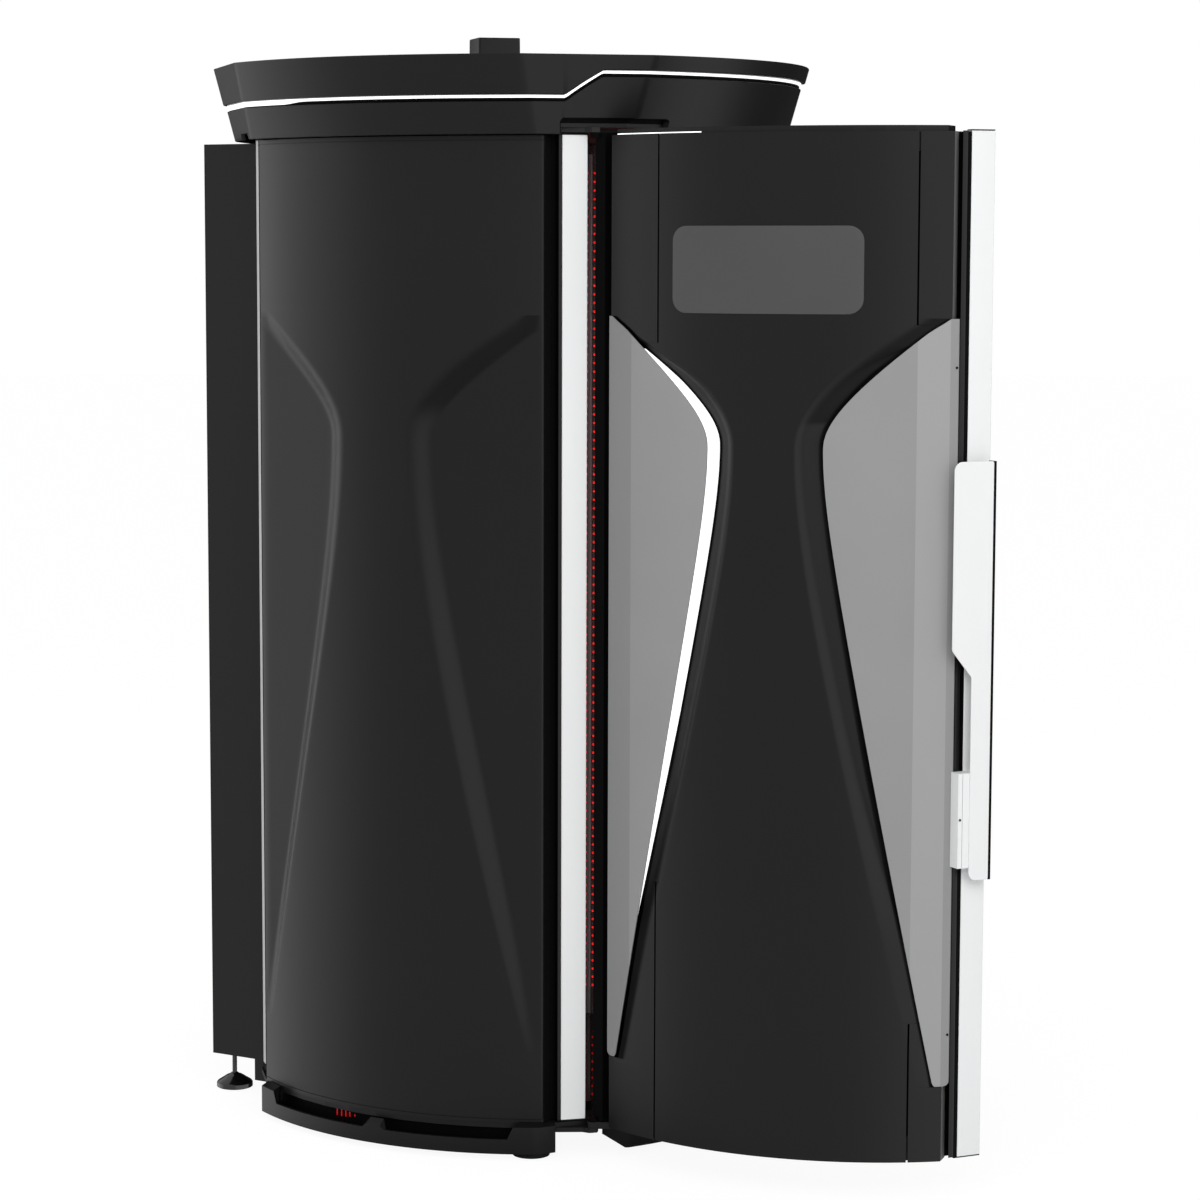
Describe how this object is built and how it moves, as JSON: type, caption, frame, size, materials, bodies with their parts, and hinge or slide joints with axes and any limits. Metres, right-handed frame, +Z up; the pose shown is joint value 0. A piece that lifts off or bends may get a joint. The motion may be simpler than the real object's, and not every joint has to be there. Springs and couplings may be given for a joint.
{
  "type": "red light therapy booth",
  "caption": "Walk-in red light therapy booth: curved black wings, lamp walls behind clear guards, a hinged front door with grey windows and a flared two-tier canopy.",
  "frame": {"origin": "on the floor, under the middle of the bounding box with the door open as pictured", "axes": "+Z up; the doorway faces -Y, the technical cabinet is at +Y; the door hangs on the -X side of the doorway"},
  "size_m": [1.294, 1.9118, 2.363],
  "materials": {
    "black_moulding": "satin black moulded skin",
    "black_frame": "black coated aluminium section and sheet",
    "gloss_floor": "polished black floor panel",
    "white_coat": "white powder coat on sheet",
    "clear_guard": "clear guard sheet",
    "light_guide": "white edge-lit light guide",
    "smoked_window": "grey translucent pane",
    "grey_plate": "plain grey plate",
    "zinc_steel": "zinc plated steel",
    "supply_case": "plain aluminium case",
    "hinge_steel": "black coated steel plate",
    "rubber_foot": "black rubber",
    "red_cap": "red button cap"
  },
  "bodies": {
    "booth": {"left_shell": "black_moulding", "right_shell": "black_moulding", "canopy_lower": "black_moulding", "canopy_upper": "black_moulding", "roof_deck": "black_moulding", "ceiling_panel": "black_moulding", "left_skirt": "black_moulding", "right_skirt": "black_moulding", "front_sill": "black_moulding", "roof_fan_frame": "black_moulding", "button_bezel": "black_moulding", "left_front_upright": "black_frame", "left_rear_upright": "black_frame", "right_front_upright": "black_frame", "right_rear_upright": "black_frame", "roof_frame": "black_frame", "platform": "black_frame", "left_lamp_tray": "black_frame", "right_lamp_tray": "black_frame", "rear_lamp_tray": "black_frame", "rear_cabinet": "black_frame", "rear_cover": "black_frame", "roof_box": "black_frame", "tread_plate": "gloss_floor", "left_front_trim": "white_coat", "left_guard": "clear_guard", "right_guard": "clear_guard", "rear_guard": "clear_guard", "canopy_light": "light_guide", "foot_front_left": "rubber_foot", "foot_front_right": "rubber_foot", "foot_rear_left": "zinc_steel", "foot_rear_right": "zinc_steel", "power_supply": "supply_case", "hinge_plate_top": "hinge_steel", "hinge_plate_bottom": "hinge_steel"},
    "door": {"door_cover": "black_moulding", "door_stile_hinge": "black_moulding", "door_stile_free": "black_moulding", "door_backing": "black_frame", "door_bottom_rail": "black_frame", "door_top_rail": "black_frame", "door_hinge_upright": "black_frame", "door_free_upright": "black_frame", "door_lamp_tray": "black_frame", "door_guard": "clear_guard", "door_free_trim": "white_coat", "door_window_hinge": "smoked_window", "door_window_free": "smoked_window", "door_light_hinge": "light_guide", "door_light_free": "light_guide", "door_handle": "white_coat", "door_handle_edge": "black_frame", "door_handle_bracket_lower": "white_coat", "door_handle_bracket_upper": "white_coat", "door_badge": "grey_plate"},
    "fan_rotor": {"roof_fan_rotor": "black_moulding"},
    "stop_button": {"stop_button": "red_cap"}
  },
  "joints": [
    {"name": "door_hinge", "type": "hinge", "parent": "booth", "child": "door", "pos_m": [-0.39996, -0.12999, 1.1], "axis": [0, 0, -1], "range_deg": [-80.4, 14.6]},
    {"name": "fan_spin", "type": "hinge", "parent": "booth", "child": "fan_rotor", "pos_m": [0, 0.30887, 2.177], "axis": [0, 0, 1], "continuous": true},
    {"name": "stop_press", "type": "slide", "parent": "booth", "child": "stop_button", "axis": [0.7071, -0.7071, 0], "range_m": [0, 0.002], "stiffness_N_per_m": 250, "springref_m": -0.001}
  ]
}
